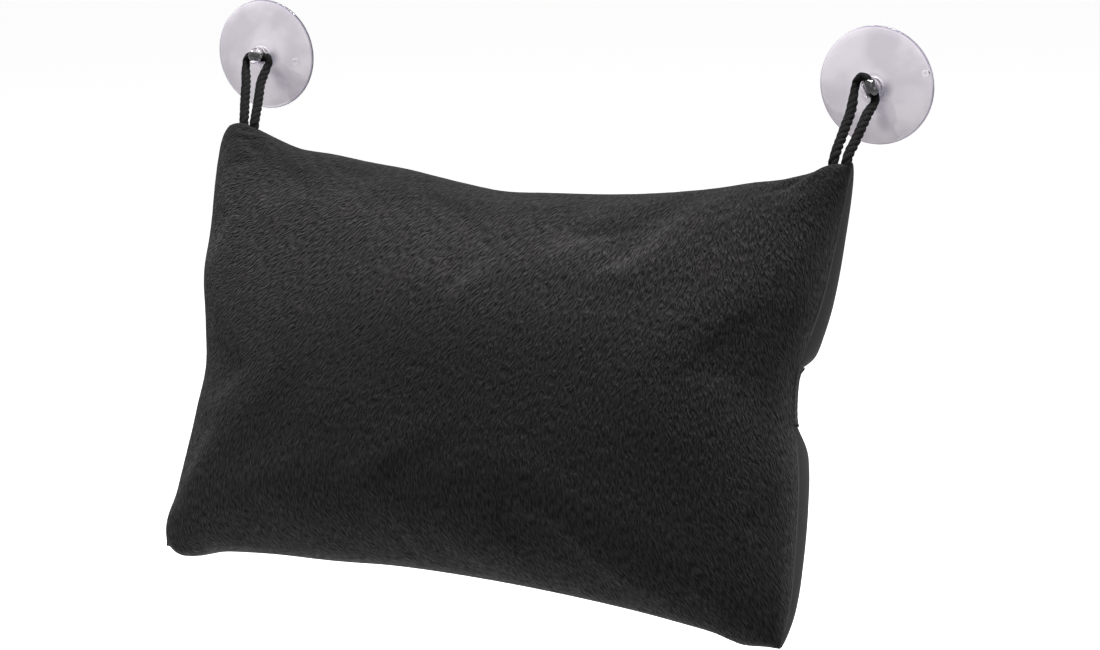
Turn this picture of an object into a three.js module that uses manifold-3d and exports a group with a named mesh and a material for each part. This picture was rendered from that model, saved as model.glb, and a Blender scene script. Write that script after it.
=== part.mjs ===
import * as THREE from 'three';
import { mergeVertices } from 'three/addons/utils/BufferGeometryUtils.js';
import Module from 'manifold-3d';

// A bath pillow that hangs from two suction cups. X runs along the wall, Y into the
// wall and Z up. The origin lies on the wall, midway between the cups. Lengths are in
// millimetres, and an angle's name says degrees.

// The cushion, measured in its own plane: X across, Y from front to back, Z up.
const cushionWidth = 303.4;
const upperHeight = 99.8;
const upperSlant = 0.5;
const lowerHeight = 99.5;
const lowerSlant = 3.7;
const frontCrown = 41;
const backCrown = 63.5;
const topDraw = 22;
const bottomDraw = 10.5;
const leftDraw = 10.9;
const rightDraw = 6.5;
const cushionOffset = 0.85;
const cushionStandOff = 72.8;
const cushionDrop = 118.35;
const cushionTiltDegrees = 21.1;

// How full the cushion is, and how its outline leaves a plain rectangle.
const frontFullness = 2.4;
const backFullness = 2.75;
const topSkewShare = 0.25;
const leftSkewShare = 0.64;
const topBend = 1.96;
const upperLeftRoundShare = 0.018;
const upperRightRoundShare = 0.004;
const lowerLeftRoundShare = 0.004;
const lowerRightRoundShare = 0.026;
const cornerSharpness = 6;

// The stitched filling opening in the right-hand seam.
const openingLength = 26;
const openingRise = 1.5;
const openingPinchRise = 5;
const openingPinch = 7.6;
const openingPinchReachShare = 0.26;
const openingHollowShare = 0.3;
const flangeWidth = 2;
const flangeThickness = 2.2;
const flangeCornerRise = 0.7;

// Fabrics, filling and the gap between pieces that lie on each other.
const plushThickness = 3;
const backClothThickness = 1.6;
const fitGap = 0.3;

// The hanging cord. A foot is where a loop leaves the cushion's top seam. Its two ends are
// sewn in below it.
const cordDiameter = 4.2;
const footHalfSpacing = 2.8;
const leftFootInset = 12.2;
const rightFootInset = 5.7;
const tailDepth = 9;
const tailLean = 2.6;
const tackLength = 13;
const tackHeight = 3.4;

// A suction cup, revolved about its knob. The cord runs through a hole across the knob, and
// a cup's turn is how far its hole has turned clockwise from level.
const cupSpacing = 297.8;
const cupDiameter = 50;
const lipWidth = 3;
const lipThickness = 1.1;
const cupHollow = 2.4;
const webThickness = 1.3;
const hubDiameter = 20;
const hubRise = 0.8;
const shoulderDiameter = 11;
const knobDiameter = 8.2;
const domeRise = 3;
const holeLift = 0.9;
const holeEndWall = 1.8;
const filletRadius = 0.8;
const leftTurnDegrees = 0;
const rightTurnDegrees = 64;

// How each leg comes to its mouth of the hole and leaves the other one, as shares of the
// reach that clears the knob: across, out from the wall and up, from the hole's middle. The
// left loop hangs straight. The right one rises over its turned knob and drops into the hole.
const leftInShares = [[-0.29, 1.26, -1.54], [-0.8, 0.4, -0.86], [-0.92, 0.06, -0.34], [-0.77, 0.01, -0.07]];
const leftOutShares = [[0.77, 0.01, -0.07], [0.92, 0.06, -0.34], [0.85, 0.4, -0.86], [0.97, 1.26, -1.54]];
const rightInShares = [
  [-0.93, 1.08, -1.28], [-1.02, 0.3, -0.32], [-1.01, 0.05, 0.15], [-0.87, 0, 0.52], [-0.59, 0, 0.71],
  [-0.35, 0, 0.63],
];
const rightOutShares = [
  [0.3, 0, -0.64], [0.31, 0.13, -0.89], [0.27, 0.46, -1.13], [0.21, 1.1, -1.42], [0.22, 1.95, -1.92],
];

// Smoothness of the faceted forms.
const cushionColumns = 26;
const cushionRows = 20;
const cupSides = 40;
const cordSides = 10;
const holeSides = 24;
const loopSteps = 80;
const ballSides = 12;
const flangeSteps = 6;

// Sizes that follow from those above.
const cordRadius = cordDiameter / 2;
const hubTop = cupHollow + webThickness + hubRise;
const knobRadius = knobDiameter / 2;
const holeRadius = cordRadius + fitGap;
const holeHeight = hubTop + holeLift + holeRadius;
const cupHeight = holeHeight + holeRadius + holeEndWall;
const holeReach = Math.sqrt(knobRadius ** 2 - holeRadius ** 2) - fitGap;
const legReach = knobRadius + fitGap + cordRadius;
const cushionTilt = THREE.MathUtils.degToRad(cushionTiltDegrees);
const footLift = cordRadius + fitGap;

const plush = new THREE.MeshStandardMaterial({ color: 0x2b2a2c, roughness: 0.95, metalness: 0 });
const backCloth = new THREE.MeshStandardMaterial({ color: 0x2f2f31, roughness: 0.82, metalness: 0 });
const beads = new THREE.MeshStandardMaterial({ color: 0xece9e2, roughness: 0.7, metalness: 0 });
const cordYarn = new THREE.MeshStandardMaterial({ color: 0x1b1a1b, roughness: 0.88, metalness: 0 });
const clearVinyl = new THREE.MeshStandardMaterial({
  color: 0xd8d4e0, roughness: 0.12, metalness: 0, transparent: true, opacity: 0.45,
});

const wasm = await Module();
wasm.setup();

// A closed geometry as a solid that can be cut and joined.
function toSolid(geometry) {
  const bare = geometry.clone();
  bare.deleteAttribute('normal');
  bare.deleteAttribute('uv');
  const merged = mergeVertices(bare);
  return new wasm.Manifold(new wasm.Mesh({
    numProp: 3,
    vertProperties: new Float32Array(merged.attributes.position.array),
    triVerts: new Uint32Array(merged.index.array),
  }));
}

function toGeometry(solid) {
  const mesh = solid.getMesh();
  const geometry = new THREE.BufferGeometry();
  geometry.setAttribute('position', new THREE.BufferAttribute(mesh.vertProperties, 3));
  geometry.setIndex(new THREE.BufferAttribute(mesh.triVerts, 1));
  geometry.computeVertexNormals();
  return geometry;
}

function join(...geometries) {
  return toGeometry(geometries.map(toSolid).reduce((whole, next) => whole.add(next)));
}

function cut(geometry, ...cutters) {
  return toGeometry(cutters.map(toSolid).reduce((whole, next) => whole.subtract(next), toSolid(geometry)));
}

// A round bar from one point to another.
function rod(from, to, radius, count = cordSides) {
  const along = new THREE.Vector3().subVectors(to, from);
  const geometry = new THREE.CylinderGeometry(radius, radius, along.length(), count);
  const turn = new THREE.Quaternion().setFromUnitVectors(new THREE.Vector3(0, 1, 0), along.clone().normalize());
  geometry.applyQuaternion(turn);
  const middle = new THREE.Vector3().addVectors(from, to).multiplyScalar(0.5);
  return geometry.translate(middle.x, middle.y, middle.z);
}

function ball(centre, radius) {
  const geometry = new THREE.SphereGeometry(radius, ballSides, ballSides / 2);
  return geometry.translate(centre.x, centre.y, centre.z);
}

// How strongly the filling opening pulls at height share t: 1 at its middle, 0 far off.
function pinchAt(t) {
  const away = (t - openingPinchRise / upperHeight) / openingPinchReachShare;
  return Math.exp(-away * away);
}

// The seam plane: s and t run from -1 to 1 across and up the cushion, and inset shrinks it.
function seamPoint(s, t, inset) {
  const upperRoundShare = s < 0 ? upperLeftRoundShare : upperRightRoundShare;
  const lowerRoundShare = s < 0 ? lowerLeftRoundShare : lowerRightRoundShare;
  const roundShare = t > 0 ? upperRoundShare : lowerRoundShare;
  const rounding = 1 - roundShare * Math.abs(s * t) ** cornerSharpness;
  const draw = s < 0
    ? leftDraw * (1 - t * t) * (1 - leftSkewShare * t)
    : rightDraw * (1 - t * t) + openingPinch * pinchAt(t);
  const upper = upperHeight - upperSlant * s
    - topDraw * (1 - Math.abs(s) ** topBend) * (1 + topSkewShare * s);
  const lower = lowerHeight + lowerSlant * s - bottomDraw * (1 - s * s);
  const x = s * (cushionWidth / 2 - draw - inset) * rounding;
  const z = t * ((t > 0 ? upper : lower) - inset) * rounding;
  return new THREE.Vector2(x, z);
}

// How far the cushion stands out from its seam plane at s and t, as a share of its crown.
function crownShare(s, t, fullness) {
  const across = 1 - Math.abs(s) ** fullness;
  const up = 1 - Math.abs(t) ** fullness;
  const nearOpening = s > 0 ? openingHollowShare * pinchAt(t) * s ** 6 : 0;
  return Math.max(0, across * up) ** (1 / fullness) * (1 - nearOpening);
}

// One face of the cushion. Side is -1 for the front and 1 for the back.
function faceOf(side, inset, sink, lift) {
  const crown = (side < 0 ? frontCrown : backCrown) - sink;
  const fullness = side < 0 ? frontFullness : backFullness;
  return (s, t) => {
    const flat = seamPoint(s, t, inset);
    return new THREE.Vector3(flat.x, side * (lift + crown * crownShare(s, t, fullness)), flat.y);
  };
}

// Two faces with the same outline, sewn along it into one closed skin.
function closedSkin(first, second) {
  const corners = [];
  const faces = [];
  const spread = (index, count) => Math.sin((Math.PI / 2) * ((2 * index) / count - 1));
  const stride = cushionColumns + 1;
  const faceSize = stride * (cushionRows + 1);
  for (const face of [first, second]) {
    for (let row = 0; row <= cushionRows; row += 1) {
      for (let column = 0; column <= cushionColumns; column += 1) {
        corners.push(...face(spread(column, cushionColumns), spread(row, cushionRows)).toArray());
      }
    }
  }
  for (let row = 0; row < cushionRows; row += 1) {
    for (let column = 0; column < cushionColumns; column += 1) {
      const a = row * stride + column;
      const b = a + 1;
      const c = a + stride;
      const d = c + 1;
      faces.push(a, b, d, a, d, c);
      faces.push(faceSize + a, faceSize + d, faceSize + b, faceSize + a, faceSize + c, faceSize + d);
    }
  }
  const rim = [];
  for (let column = 0; column < cushionColumns; column += 1) rim.push(column);
  for (let row = 0; row < cushionRows; row += 1) rim.push(row * stride + cushionColumns);
  for (let column = cushionColumns; column > 0; column -= 1) rim.push(cushionRows * stride + column);
  for (let row = cushionRows; row > 0; row -= 1) rim.push(row * stride);
  rim.forEach((corner, index) => {
    const next = rim[(index + 1) % rim.length];
    faces.push(corner, faceSize + corner, faceSize + next, corner, faceSize + next, next);
  });
  const geometry = new THREE.BufferGeometry();
  geometry.setAttribute('position', new THREE.Float32BufferAttribute(corners, 3));
  geometry.setIndex(faces);
  return geometry;
}

// The foot of a loop in the cushion's plane. Its outer leg just clears the rising seam.
function footPlace(side) {
  const halfWidth = cushionWidth / 2;
  const inset = side < 0 ? leftFootInset : rightFootInset;
  const middle = seamPoint(side * (1 - inset / halfWidth), 1, 0);
  const outer = seamPoint(side * (1 - (inset - footHalfSpacing) / halfWidth), 1, 0);
  return new THREE.Vector3(middle.x, 0, outer.y + footLift);
}

// The two sewn-in ends of a loop, leaning away from the corner, held by a bar tack.
function tailRods(side, radius, extra) {
  const foot = footPlace(side);
  return [-1, 1].map((leg) => {
    const top = foot.clone().add(new THREE.Vector3(leg * footHalfSpacing, 0, -footLift + extra));
    const low = top.clone().add(new THREE.Vector3(-side * tailLean, 0, -tailDepth - 2 * extra));
    return rod(top, low, radius);
  });
}

function tackBar(side, extra) {
  const foot = footPlace(side);
  const bar = new THREE.BoxGeometry(tackLength + 2 * extra, cordDiameter + 2 * extra, tackHeight + 2 * extra);
  return bar.translate(foot.x - side * tailLean, 0, foot.z - footLift - tailDepth + tackHeight / 2);
}

// The folded lips of the filling opening, stitched flat and standing out of the side seam.
function closingSeam() {
  const at = (share) => {
    const z = openingRise + (share - 0.5) * openingLength;
    return seamPoint(1, z / upperHeight, 0);
  };
  const steps = Array.from({ length: flangeSteps + 1 }, (_, index) => index / flangeSteps);
  const inner = steps.map((share) => at(share).sub(new THREE.Vector2(flangeWidth, 0)));
  const outer = steps.map((share) => {
    const flare = flangeCornerRise * (2 * share - 1) ** 4;
    return at(share).add(new THREE.Vector2(fitGap + flangeWidth + flare, 0));
  });
  const outline = new THREE.Shape([...inner, ...outer.reverse()]);
  const flange = new THREE.ExtrudeGeometry(outline, { depth: flangeThickness, bevelEnabled: false, steps: 1 });
  flange.rotateX(Math.PI / 2);
  flange.translate(0, flangeThickness / 2, 0);
  return cut(flange, closedSkin(faceOf(-1, -fitGap, 0, fitGap), faceOf(1, -fitGap, 0, fitGap)));
}

// A cup's outline from the knob's dome, round the lip, to the middle of the hollow.
function cupProfile() {
  const outer = cupDiameter / 2;
  const lipInner = outer - lipWidth;
  const shoulder = shoulderDiameter / 2;
  const hub = hubDiameter / 2;
  const profile = new THREE.Path();
  profile.moveTo(0, -cupHeight);
  profile.bezierCurveTo(knobRadius * 0.6, -cupHeight, knobRadius, -cupHeight + domeRise * 0.4,
    knobRadius, -cupHeight + domeRise);
  profile.lineTo(knobRadius, -hubTop - filletRadius);
  profile.quadraticCurveTo(knobRadius, -hubTop, knobRadius + filletRadius, -hubTop);
  profile.lineTo(shoulder, -hubTop);
  profile.quadraticCurveTo(shoulder + hubRise, -hubTop, hub, -hubTop + hubRise);
  profile.quadraticCurveTo(outer * 0.75, -cupHollow * 0.75 - webThickness * 0.55, outer, -lipThickness);
  profile.lineTo(outer, 0);
  profile.lineTo(lipInner, 0);
  profile.quadraticCurveTo(hub, -cupHollow, 0, -cupHollow);
  return profile.getPoints(4);
}

// The middle of a cup's cord hole, and the way the hole runs from its left or upper mouth.
function holeMiddle(side) {
  return new THREE.Vector3((side * cupSpacing) / 2, -holeHeight, 0);
}

function holeAlong(side) {
  const turn = THREE.MathUtils.degToRad(side < 0 ? leftTurnDegrees : rightTurnDegrees);
  return new THREE.Vector3(Math.cos(turn), 0, -Math.sin(turn));
}

function cup(side) {
  const middle = holeMiddle(side);
  const body = new THREE.LatheGeometry(cupProfile(), cupSides).translate(middle.x, 0, 0);
  const along = holeAlong(side).multiplyScalar(knobDiameter);
  const bore = rod(middle.clone().sub(along), middle.clone().add(along), holeRadius, holeSides);
  return cut(body, bore);
}

// A loop's route: up one leg, through the cup's knob and down the other leg.
function loopRoute(side, foot) {
  const middle = holeMiddle(side);
  const nearKnob = ([across, out, up]) => new THREE.Vector3(across, -out, up).multiplyScalar(legReach).add(middle);
  const coming = (side < 0 ? leftInShares : rightInShares).map(nearKnob);
  const leaving = (side < 0 ? leftOutShares : rightOutShares).map(nearKnob);
  const mouths = [-1, 1].map((way) => middle.clone().addScaledVector(holeAlong(side), way * holeReach));
  const feet = [-1, 1].map((way) => new THREE.Vector3(foot.x + way * footHalfSpacing, foot.y, foot.z));
  const halfway = [feet[0].clone().lerp(coming[0], 0.5), feet[1].clone().lerp(leaving[leaving.length - 1], 0.5)];
  return [feet[0], halfway[0], ...coming, ...mouths, ...leaving, halfway[1], feet[1]];
}

function cordLoop(side, foot) {
  const section = new THREE.Shape();
  section.absarc(0, 0, cordRadius, 0, 2 * Math.PI, false);
  const corners = section.getSpacedPoints(cordSides).slice(0, cordSides);
  const route = loopRoute(side, foot);
  const tube = new THREE.ExtrudeGeometry(new THREE.Shape(corners), {
    steps: loopSteps,
    extrudePath: new THREE.CatmullRomCurve3(route, false, 'centripetal'),
    bevelEnabled: false,
  });
  return join(tube, ball(route[0], cordRadius), ball(route[route.length - 1], cordRadius));
}

function piece(name, geometry, material) {
  const mesh = new THREE.Mesh(geometry, material);
  mesh.name = name;
  return mesh;
}

const sides = [-1, 1];
const sideNames = { [-1]: 'left', 1: 'right' };
const group = new THREE.Group();

// The cushion group leans its top towards the wall.
const cushion = new THREE.Group();
cushion.position.set(cushionOffset, -cushionStandOff, -cushionDrop);
cushion.rotation.x = -cushionTilt;
group.add(cushion);

const tailCuts = sides.flatMap((side) => tailRods(side, cordRadius + fitGap, fitGap));
const tackCuts = sides.map((side) => tackBar(side, fitGap));
const frontShell = closedSkin(faceOf(-1, 0, 0, fitGap / 2), faceOf(-1, plushThickness, plushThickness, fitGap / 2));
cushion.add(piece('front_panel', cut(frontShell, ...tailCuts, ...tackCuts), plush));
const backShell = closedSkin(
  faceOf(1, plushThickness, backClothThickness, fitGap / 2), faceOf(1, 0, 0, fitGap / 2));
cushion.add(piece('back_panel', cut(backShell, ...tailCuts, ...tackCuts), backCloth));
const fillInset = plushThickness + fitGap;
const filling = closedSkin(
  faceOf(-1, fillInset, fillInset, 0), faceOf(1, fillInset, backClothThickness + fitGap, 0));
cushion.add(piece('bead_filling', cut(filling, ...tailCuts, ...tackCuts), beads));
cushion.add(piece('closing_seam', closingSeam(), backCloth));
for (const side of sides) {
  const tail = join(...tailRods(side, cordRadius, 0), tackBar(side, 0));
  cushion.add(piece(`${sideNames[side]}_cord_tail`, tail, cordYarn));
}

// The loops and the cups that hang on them.
cushion.updateMatrixWorld(true);
for (const side of sides) {
  const foot = footPlace(side).applyMatrix4(cushion.matrixWorld);
  group.add(piece(`${sideNames[side]}_cord_loop`, cordLoop(side, foot), cordYarn));
  group.add(piece(`${sideNames[side]}_suction_cup`, cup(side), clearVinyl));
}

export default group;
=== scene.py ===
"""A plush bath pillow on two suction cups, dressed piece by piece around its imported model."""
import math

import bmesh
import bpy
import numpy as np
from mathutils import Matrix, Vector, noise


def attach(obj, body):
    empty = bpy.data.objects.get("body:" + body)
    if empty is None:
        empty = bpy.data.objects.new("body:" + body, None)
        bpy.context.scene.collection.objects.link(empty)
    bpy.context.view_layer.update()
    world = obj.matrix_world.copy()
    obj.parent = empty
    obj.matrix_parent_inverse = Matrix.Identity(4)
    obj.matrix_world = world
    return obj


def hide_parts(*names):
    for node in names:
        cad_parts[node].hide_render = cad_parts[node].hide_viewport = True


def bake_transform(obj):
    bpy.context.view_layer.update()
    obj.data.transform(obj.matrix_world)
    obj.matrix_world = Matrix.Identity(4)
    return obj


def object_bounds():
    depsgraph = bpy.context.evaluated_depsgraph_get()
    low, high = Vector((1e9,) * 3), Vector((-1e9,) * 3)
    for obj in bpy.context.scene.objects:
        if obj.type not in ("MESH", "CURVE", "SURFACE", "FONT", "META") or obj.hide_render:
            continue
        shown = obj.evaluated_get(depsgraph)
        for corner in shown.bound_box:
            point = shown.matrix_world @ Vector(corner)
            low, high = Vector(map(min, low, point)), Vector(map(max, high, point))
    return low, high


bl_info = {
    "name": "Bath Pillow",
    "version": (1, 0, 0),
    "blender": (4, 5, 0),
    "location": "3D View > Sidebar > Bath Pillow",
    "description": "Builds a plush bath pillow with twisted cord loops and clear suction cups",
    "category": "Add Mesh",
}

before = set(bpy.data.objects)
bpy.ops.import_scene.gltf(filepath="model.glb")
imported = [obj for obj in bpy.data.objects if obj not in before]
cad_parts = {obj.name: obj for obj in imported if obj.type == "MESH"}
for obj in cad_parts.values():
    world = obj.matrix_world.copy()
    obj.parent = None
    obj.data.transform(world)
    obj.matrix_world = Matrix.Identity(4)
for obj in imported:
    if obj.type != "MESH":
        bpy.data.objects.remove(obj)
CAD_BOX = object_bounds()
SIDES = {-1: "left", 1: "right"}
MM = 0.001

# Each cord's route from foot to foot, by way of its cup's knob, in metres.
ROUTES = {
    -1: [
        (-0.13993, -0.03699, -0.02554), (-0.14536, -0.02649, -0.01778), (-0.15079, -0.01599, -0.01001),
        (-0.15410, -0.01040, -0.00559), (-0.15488, -0.00819, -0.00221), (-0.15391, -0.00787, -0.00046),
        (-0.15192, -0.00780, 0.0), (-0.14588, -0.00780, 0.0), (-0.14390, -0.00787, -0.00046),
        (-0.14292, -0.00819, -0.00221), (-0.14338, -0.01040, -0.00559), (-0.14259, -0.01599, -0.01001),
        (-0.13846, -0.02649, -0.01778), (-0.13433, -0.03699, -0.02554),
    ],
    1: [
        (0.14359, -0.03668, -0.02474), (0.14322, -0.02575, -0.01653), (0.14286, -0.01482, -0.00832),
        (0.14227, -0.00975, -0.00208), (0.14234, -0.00813, 0.00097), (0.14325, -0.00780, 0.00338),
        (0.14506, -0.00780, 0.00462), (0.14663, -0.00780, 0.00409), (0.14757, -0.00780, 0.00272),
        (0.15023, -0.00780, -0.00272), (0.15085, -0.00780, -0.00416), (0.15091, -0.00865, -0.00579),
        (0.15066, -0.01079, -0.00734), (0.15027, -0.01495, -0.00923), (0.15033, -0.02048, -0.01248),
        (0.14976, -0.02858, -0.01861), (0.14919, -0.03668, -0.02474),
    ],
}


def length_of(name, description, default):
    """A length in metres that a user can change."""
    return bpy.props.FloatProperty(name=name, description=description, default=default, unit="LENGTH",
                                   precision=4)


def share_of(name, description, default):
    """A plain factor that a user can change."""
    return bpy.props.FloatProperty(name=name, description=description, default=default)


def colour_of(name, description, default):
    """A colour that a user can change, in linear light."""
    return bpy.props.FloatVectorProperty(name=name, description=description, default=default, subtype="COLOR",
                                         size=3, min=0, max=1)


class CushionSettings(bpy.types.PropertyGroup):
    """The cushion, measured in its own plane: X across, Y from front to back, Z up."""

    width: length_of("Width", "Across the corners", 0.3034)
    upper_height: length_of("Upper height", "From the middle up to the corners", 0.0998)
    upper_slant: length_of("Upper slant", "Fall of the top to the right", 0.0005)
    lower_height: length_of("Lower height", "From the middle down to the corners", 0.0995)
    lower_slant: length_of("Lower slant", "Fall of the bottom to the right", 0.0037)
    front_crown: length_of("Front crown", "How far the front bulges", 0.041)
    back_crown: length_of("Back crown", "How far the back bulges", 0.0635)
    top_draw: length_of("Top draw", "How far the top seam sags between its corners", 0.022)
    bottom_draw: length_of("Bottom draw", "How far the bottom seam pulls in", 0.0105)
    left_draw: length_of("Left draw", "How far the left seam pulls in", 0.0109)
    right_draw: length_of("Right draw", "How far the right seam pulls in", 0.0065)
    offset: length_of("Offset", "To the right of the cups' middle", 0.00085)
    stand_off: length_of("Stand-off", "From the wall to the seam's middle", 0.0728)
    drop: length_of("Drop", "From the cups down to the middle", 0.11835)
    tilt: bpy.props.FloatProperty(name="Tilt", description="Lean of the top to the wall",
                                  default=math.radians(21.1), subtype="ANGLE")
    front_fullness: share_of("Front fullness", "Flatness of the front's crown", 2.4)
    back_fullness: share_of("Back fullness", "Flatness of the back's crown", 2.75)
    top_skew: share_of("Top skew", "How far the sag leans right", 0.25)
    left_skew: share_of("Left skew", "How far the left draw leans down", 0.64)
    top_bend: share_of("Top bend", "Sharpness of the sag near the corners", 1.96)
    corner_rounds: bpy.props.FloatVectorProperty(
        name="Corner rounds",
        description="Rounding of the upper left, upper right, lower left and lower right corner",
        default=(0.013, 0.005, 0.004, 0.030), size=4)
    opening_rise: length_of("Opening rise", "Height of the filling opening", 0.0015)
    pinch_rise: length_of("Pinch rise", "Height at which the seam is drawn in most", 0.005)
    opening_pinch: length_of("Opening pinch", "How far the opening draws the seam in", 0.0076)
    opening_reach: share_of("Opening reach", "Reach of the pinch", 0.26)
    opening_hollow: share_of("Opening hollow", "Depth of the front's hollow beside the opening", 0.05)
    back_hollow: share_of("Back hollow", "Depth of the back's hollow beside the opening", 0.86)
    back_pinch_reach: length_of("Back pinch reach", "Half the height of the back's hollow", 0.0155)
    opening_length: length_of("Opening length", "Length of the sewn-up filling opening", 0.0235)
    lip_width: length_of("Lip width", "How far the sewn lips stand out of the seam", 0.0011)
    lip_flare: length_of("Lip flare", "How much further their ends stand out", 0.0013)
    lip_thickness: length_of("Lip thickness", "One folded lip", 0.0010)
    stitch_pitch: length_of("Stitch pitch", "From one closing stitch to the next", 0.0026)
    pucker: length_of("Pucker", "How far the filling's pressure may move the cloth", 0.0008)
    plush_thickness: length_of("Plush thickness", "Cloth and pile of the front", 0.003)
    back_thickness: length_of("Back cloth thickness", "Stretch cloth of the back", 0.0016)
    plush_colour: colour_of("Plush", "Colour of the pile's tips", (0.0328, 0.0321, 0.0328))
    # Painted shade between the tufts, darker than the pile's tips.
    root_shade_colour: colour_of("Pile roots", "Colour between the tufts", (0.0080, 0.0077, 0.0080))
    back_colour: colour_of("Back cloth", "Colour of the stretch cloth", (0.0098, 0.0095, 0.0099))
    # A painted highlight along the seam, paler than the cloth.
    seam_highlight_colour: colour_of("Turned edge", "Colour of the cloth's edge along the seam", (0.07, 0.068, 0.07))


class CordSettings(bpy.types.PropertyGroup):
    """The twisted hanging cord."""

    diameter: length_of("Diameter", "Over its three strands", 0.0046)
    hole: length_of("Hole", "Across the hole in a cup's knob", 0.0048)
    tail_depth: length_of("Tail depth", "How deep the ends are sewn in", 0.009)
    tail_lean: length_of("Tail lean", "How far the ends lean from the corner", 0.0026)
    tack_length: length_of("Tack length", "Width of the bar of stitches", 0.0125)
    tack_height: length_of("Tack height", "Height of the bar of stitches", 0.003)
    lay_length: length_of("Lay", "Length of one full twist", 0.0105)
    fibre_lay: length_of("Fibre lay", "Length of one wave of the fibres along a strand", 0.0012)
    colour: colour_of("Cord", "Colour of the yarn", (0.0060, 0.0058, 0.0061))


class CupSettings(bpy.types.PropertyGroup):
    """A clear suction cup."""

    spacing: length_of("Spacing", "Between the cups' middles", 0.2978)
    diameter: length_of("Diameter", "Over the lip", 0.050)
    hole_height: length_of("Hole height", "From the wall to the middle of the knob's hole", 0.0078)
    tint: colour_of("Tint", "Colour of the vinyl", (0.635, 0.598, 0.648))
    # The colour of the painted shade at the knob's foot and of the painted dark reflection below the knob.
    painted_shade: colour_of("Shade", "Colour that the knob's shade tends to", (0.17, 0.16, 0.21))
    # The colour of the painted dark rim along the lip.
    rim: colour_of("Rim", "Colour of the lip's edge", (0.10, 0.08, 0.16))


class StageSettings(bpy.types.PropertyGroup):
    """The floor and the light."""

    floor_drop: length_of("Floor drop", "From the pillow down to the floor", 0.30)
    ambient: share_of("Ambient", "Strength of the light from all round", 0.13)
    floor_seen: share_of("Floor as seen", "Paleness of the floor where it shows", 0.86)
    floor_bounce: share_of("Floor's bounce", "Paleness of the floor as the object meets it", 0.32)
    floor_glow: share_of("Floor's glow", "Light added where the floor shows", 0.82)


# Small helpers that several pieces use.
def linked(name, mesh):
    """A new object in the scene, at the origin."""
    piece = bpy.data.objects.new(name, mesh)
    bpy.context.scene.collection.objects.link(piece)
    return piece


def mesh_from(bm, name):
    """A mesh with smooth faces from a bmesh, which is freed."""
    mesh = bpy.data.meshes.new(name)
    bm.to_mesh(mesh)
    bm.free()
    mesh.shade_smooth()
    return mesh


def apply_modifiers(piece):
    """Applies a piece's modifiers."""
    depsgraph = bpy.context.evaluated_depsgraph_get()
    made = bpy.data.meshes.new_from_object(piece.evaluated_get(depsgraph))
    piece.modifiers.clear()
    piece.data = made


def points_of(mesh):
    """A mesh's points as an array."""
    places = np.empty(len(mesh.vertices) * 3, np.float32)
    mesh.vertices.foreach_get("co", places)
    return places.reshape(-1, 3).astype(float)


def normals_of(mesh):
    """A mesh's point normals as an array."""
    found = np.empty(len(mesh.vertices) * 3, np.float32)
    mesh.vertex_normals.foreach_get("vector", found)
    return found.reshape(-1, 3).astype(float)


def put_points(mesh, places):
    """Moves a mesh's points."""
    mesh.vertices.foreach_set("co", places.astype(np.float32).ravel())
    mesh.update()


def floats_of(mesh, name):
    """A named point attribute as an array."""
    found = np.empty(len(mesh.vertices), np.float32)
    mesh.attributes[name].data.foreach_get("value", found)
    return found.astype(float)


def put_floats(mesh, name, values):
    """Stores a named point attribute."""
    layer = mesh.attributes.get(name) or mesh.attributes.new(name, "FLOAT", "POINT")
    layer.data.foreach_set("value", values.astype(np.float32))


def steps_of(low, high, values):
    """0 below low, 1 above high and smooth between."""
    share = np.clip((values - low) / (high - low), 0, 1)
    return share * share * (3 - 2 * share)


# The cushion's form.
def pinch_at(c, t):
    """How strongly the filling opening pulls at height share t."""
    away = (t - c.pinch_rise / c.upper_height) / c.opening_reach
    return np.exp(-away * away)


def crown_share(s, t, fullness, hollow):
    """How far the cloth stands out from the seam plane, as a share of its crown."""
    level = np.maximum(0, (1 - np.abs(s) ** fullness) * (1 - np.abs(t) ** fullness))
    hollow = np.where(s > 0, hollow * s ** 6, 0)
    return level ** (1 / fullness) * (1 - hollow)


# How handling has pulled the outline about, in the cushion's plane: place across and up, reach,
# and the pull across and up. Millimetres.
PULLS = [
    (-143, 29, 16, -2.5, 0), (-140, -13, 14, 2.5, 0), (-142, -58, 15, -1, 0), (-147, -82, 10, -1.5, 2),
    (-150, -96, 7, 2.5, 2), (-137, -95, 9, -0.5, -3), (-144, -99, 6, 0, -1), (-65, -89, 22, 0, -1),
    (111, -96, 16, 0, -0.5), (131, -99, 10, -1, -2.5), (148, -97, 9, -1, -1), (144, 2, 13, 1.5, 0),
    (-152, 100, 6, 2, -1.5), (-140, 98, 7, 0, 2), (-131, 95, 6, -1, 1), (-108, 91, 14, 0, -2),
    (-52, 82, 16, 0, 1), (-3, 77, 18, 0, -1.5), (112, 86, 10, 0, 0.5), (121, 90, 9, 1, -0.5),
    (142, 95, 6, 0.5, 1.5),
]


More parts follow.
